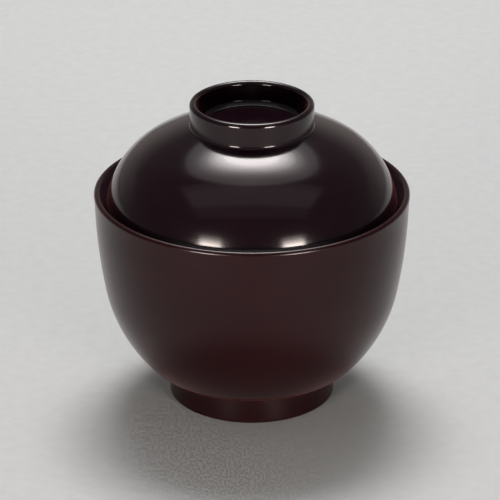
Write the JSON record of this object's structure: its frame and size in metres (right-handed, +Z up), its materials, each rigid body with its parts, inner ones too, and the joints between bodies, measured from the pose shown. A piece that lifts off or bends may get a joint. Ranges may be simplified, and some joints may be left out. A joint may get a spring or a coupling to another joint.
{
  "type": "lidded lacquer soup bowl",
  "caption": "Turned and lacquered soup bowl on a ring foot, with a lift-off domed lid that seats on a bevel inside the bowl's mouth and carries a hollow ring as its grip",
  "frame": {"origin": "On the axis of the bowl, in the plane of the foot's standing edge", "axes": "+Z up along the axis of bowl and lid; +X right and -Y towards the viewer of the picture; round about Z"},
  "size_m": [0.106, 0.106, 0.1054],
  "materials": {
    "turned_wood": "bare turned wood under the lacquer, seen only at the standing edge",
    "brown_lacquer": "dark red-brown lacquer, satin on the bowl and glossier on the lid",
    "black_lacquer": "black lacquer, glossy"
  },
  "bodies": {
    "bowl": {"bowl_core": "turned_wood", "bowl_outer_lacquer": "brown_lacquer", "bowl_inner_lacquer": "black_lacquer", "bowl_foot_lacquer": "brown_lacquer"},
    "lid": {"lid_core": "turned_wood", "lid_outer_lacquer": "brown_lacquer", "lid_inner_lacquer": "black_lacquer"}
  },
  "joints": [
    {"name": "lid_lift", "type": "slide", "parent": "bowl", "child": "lid", "axis": [0, 0, 1], "range_m": [0, 0.09]}
  ]
}
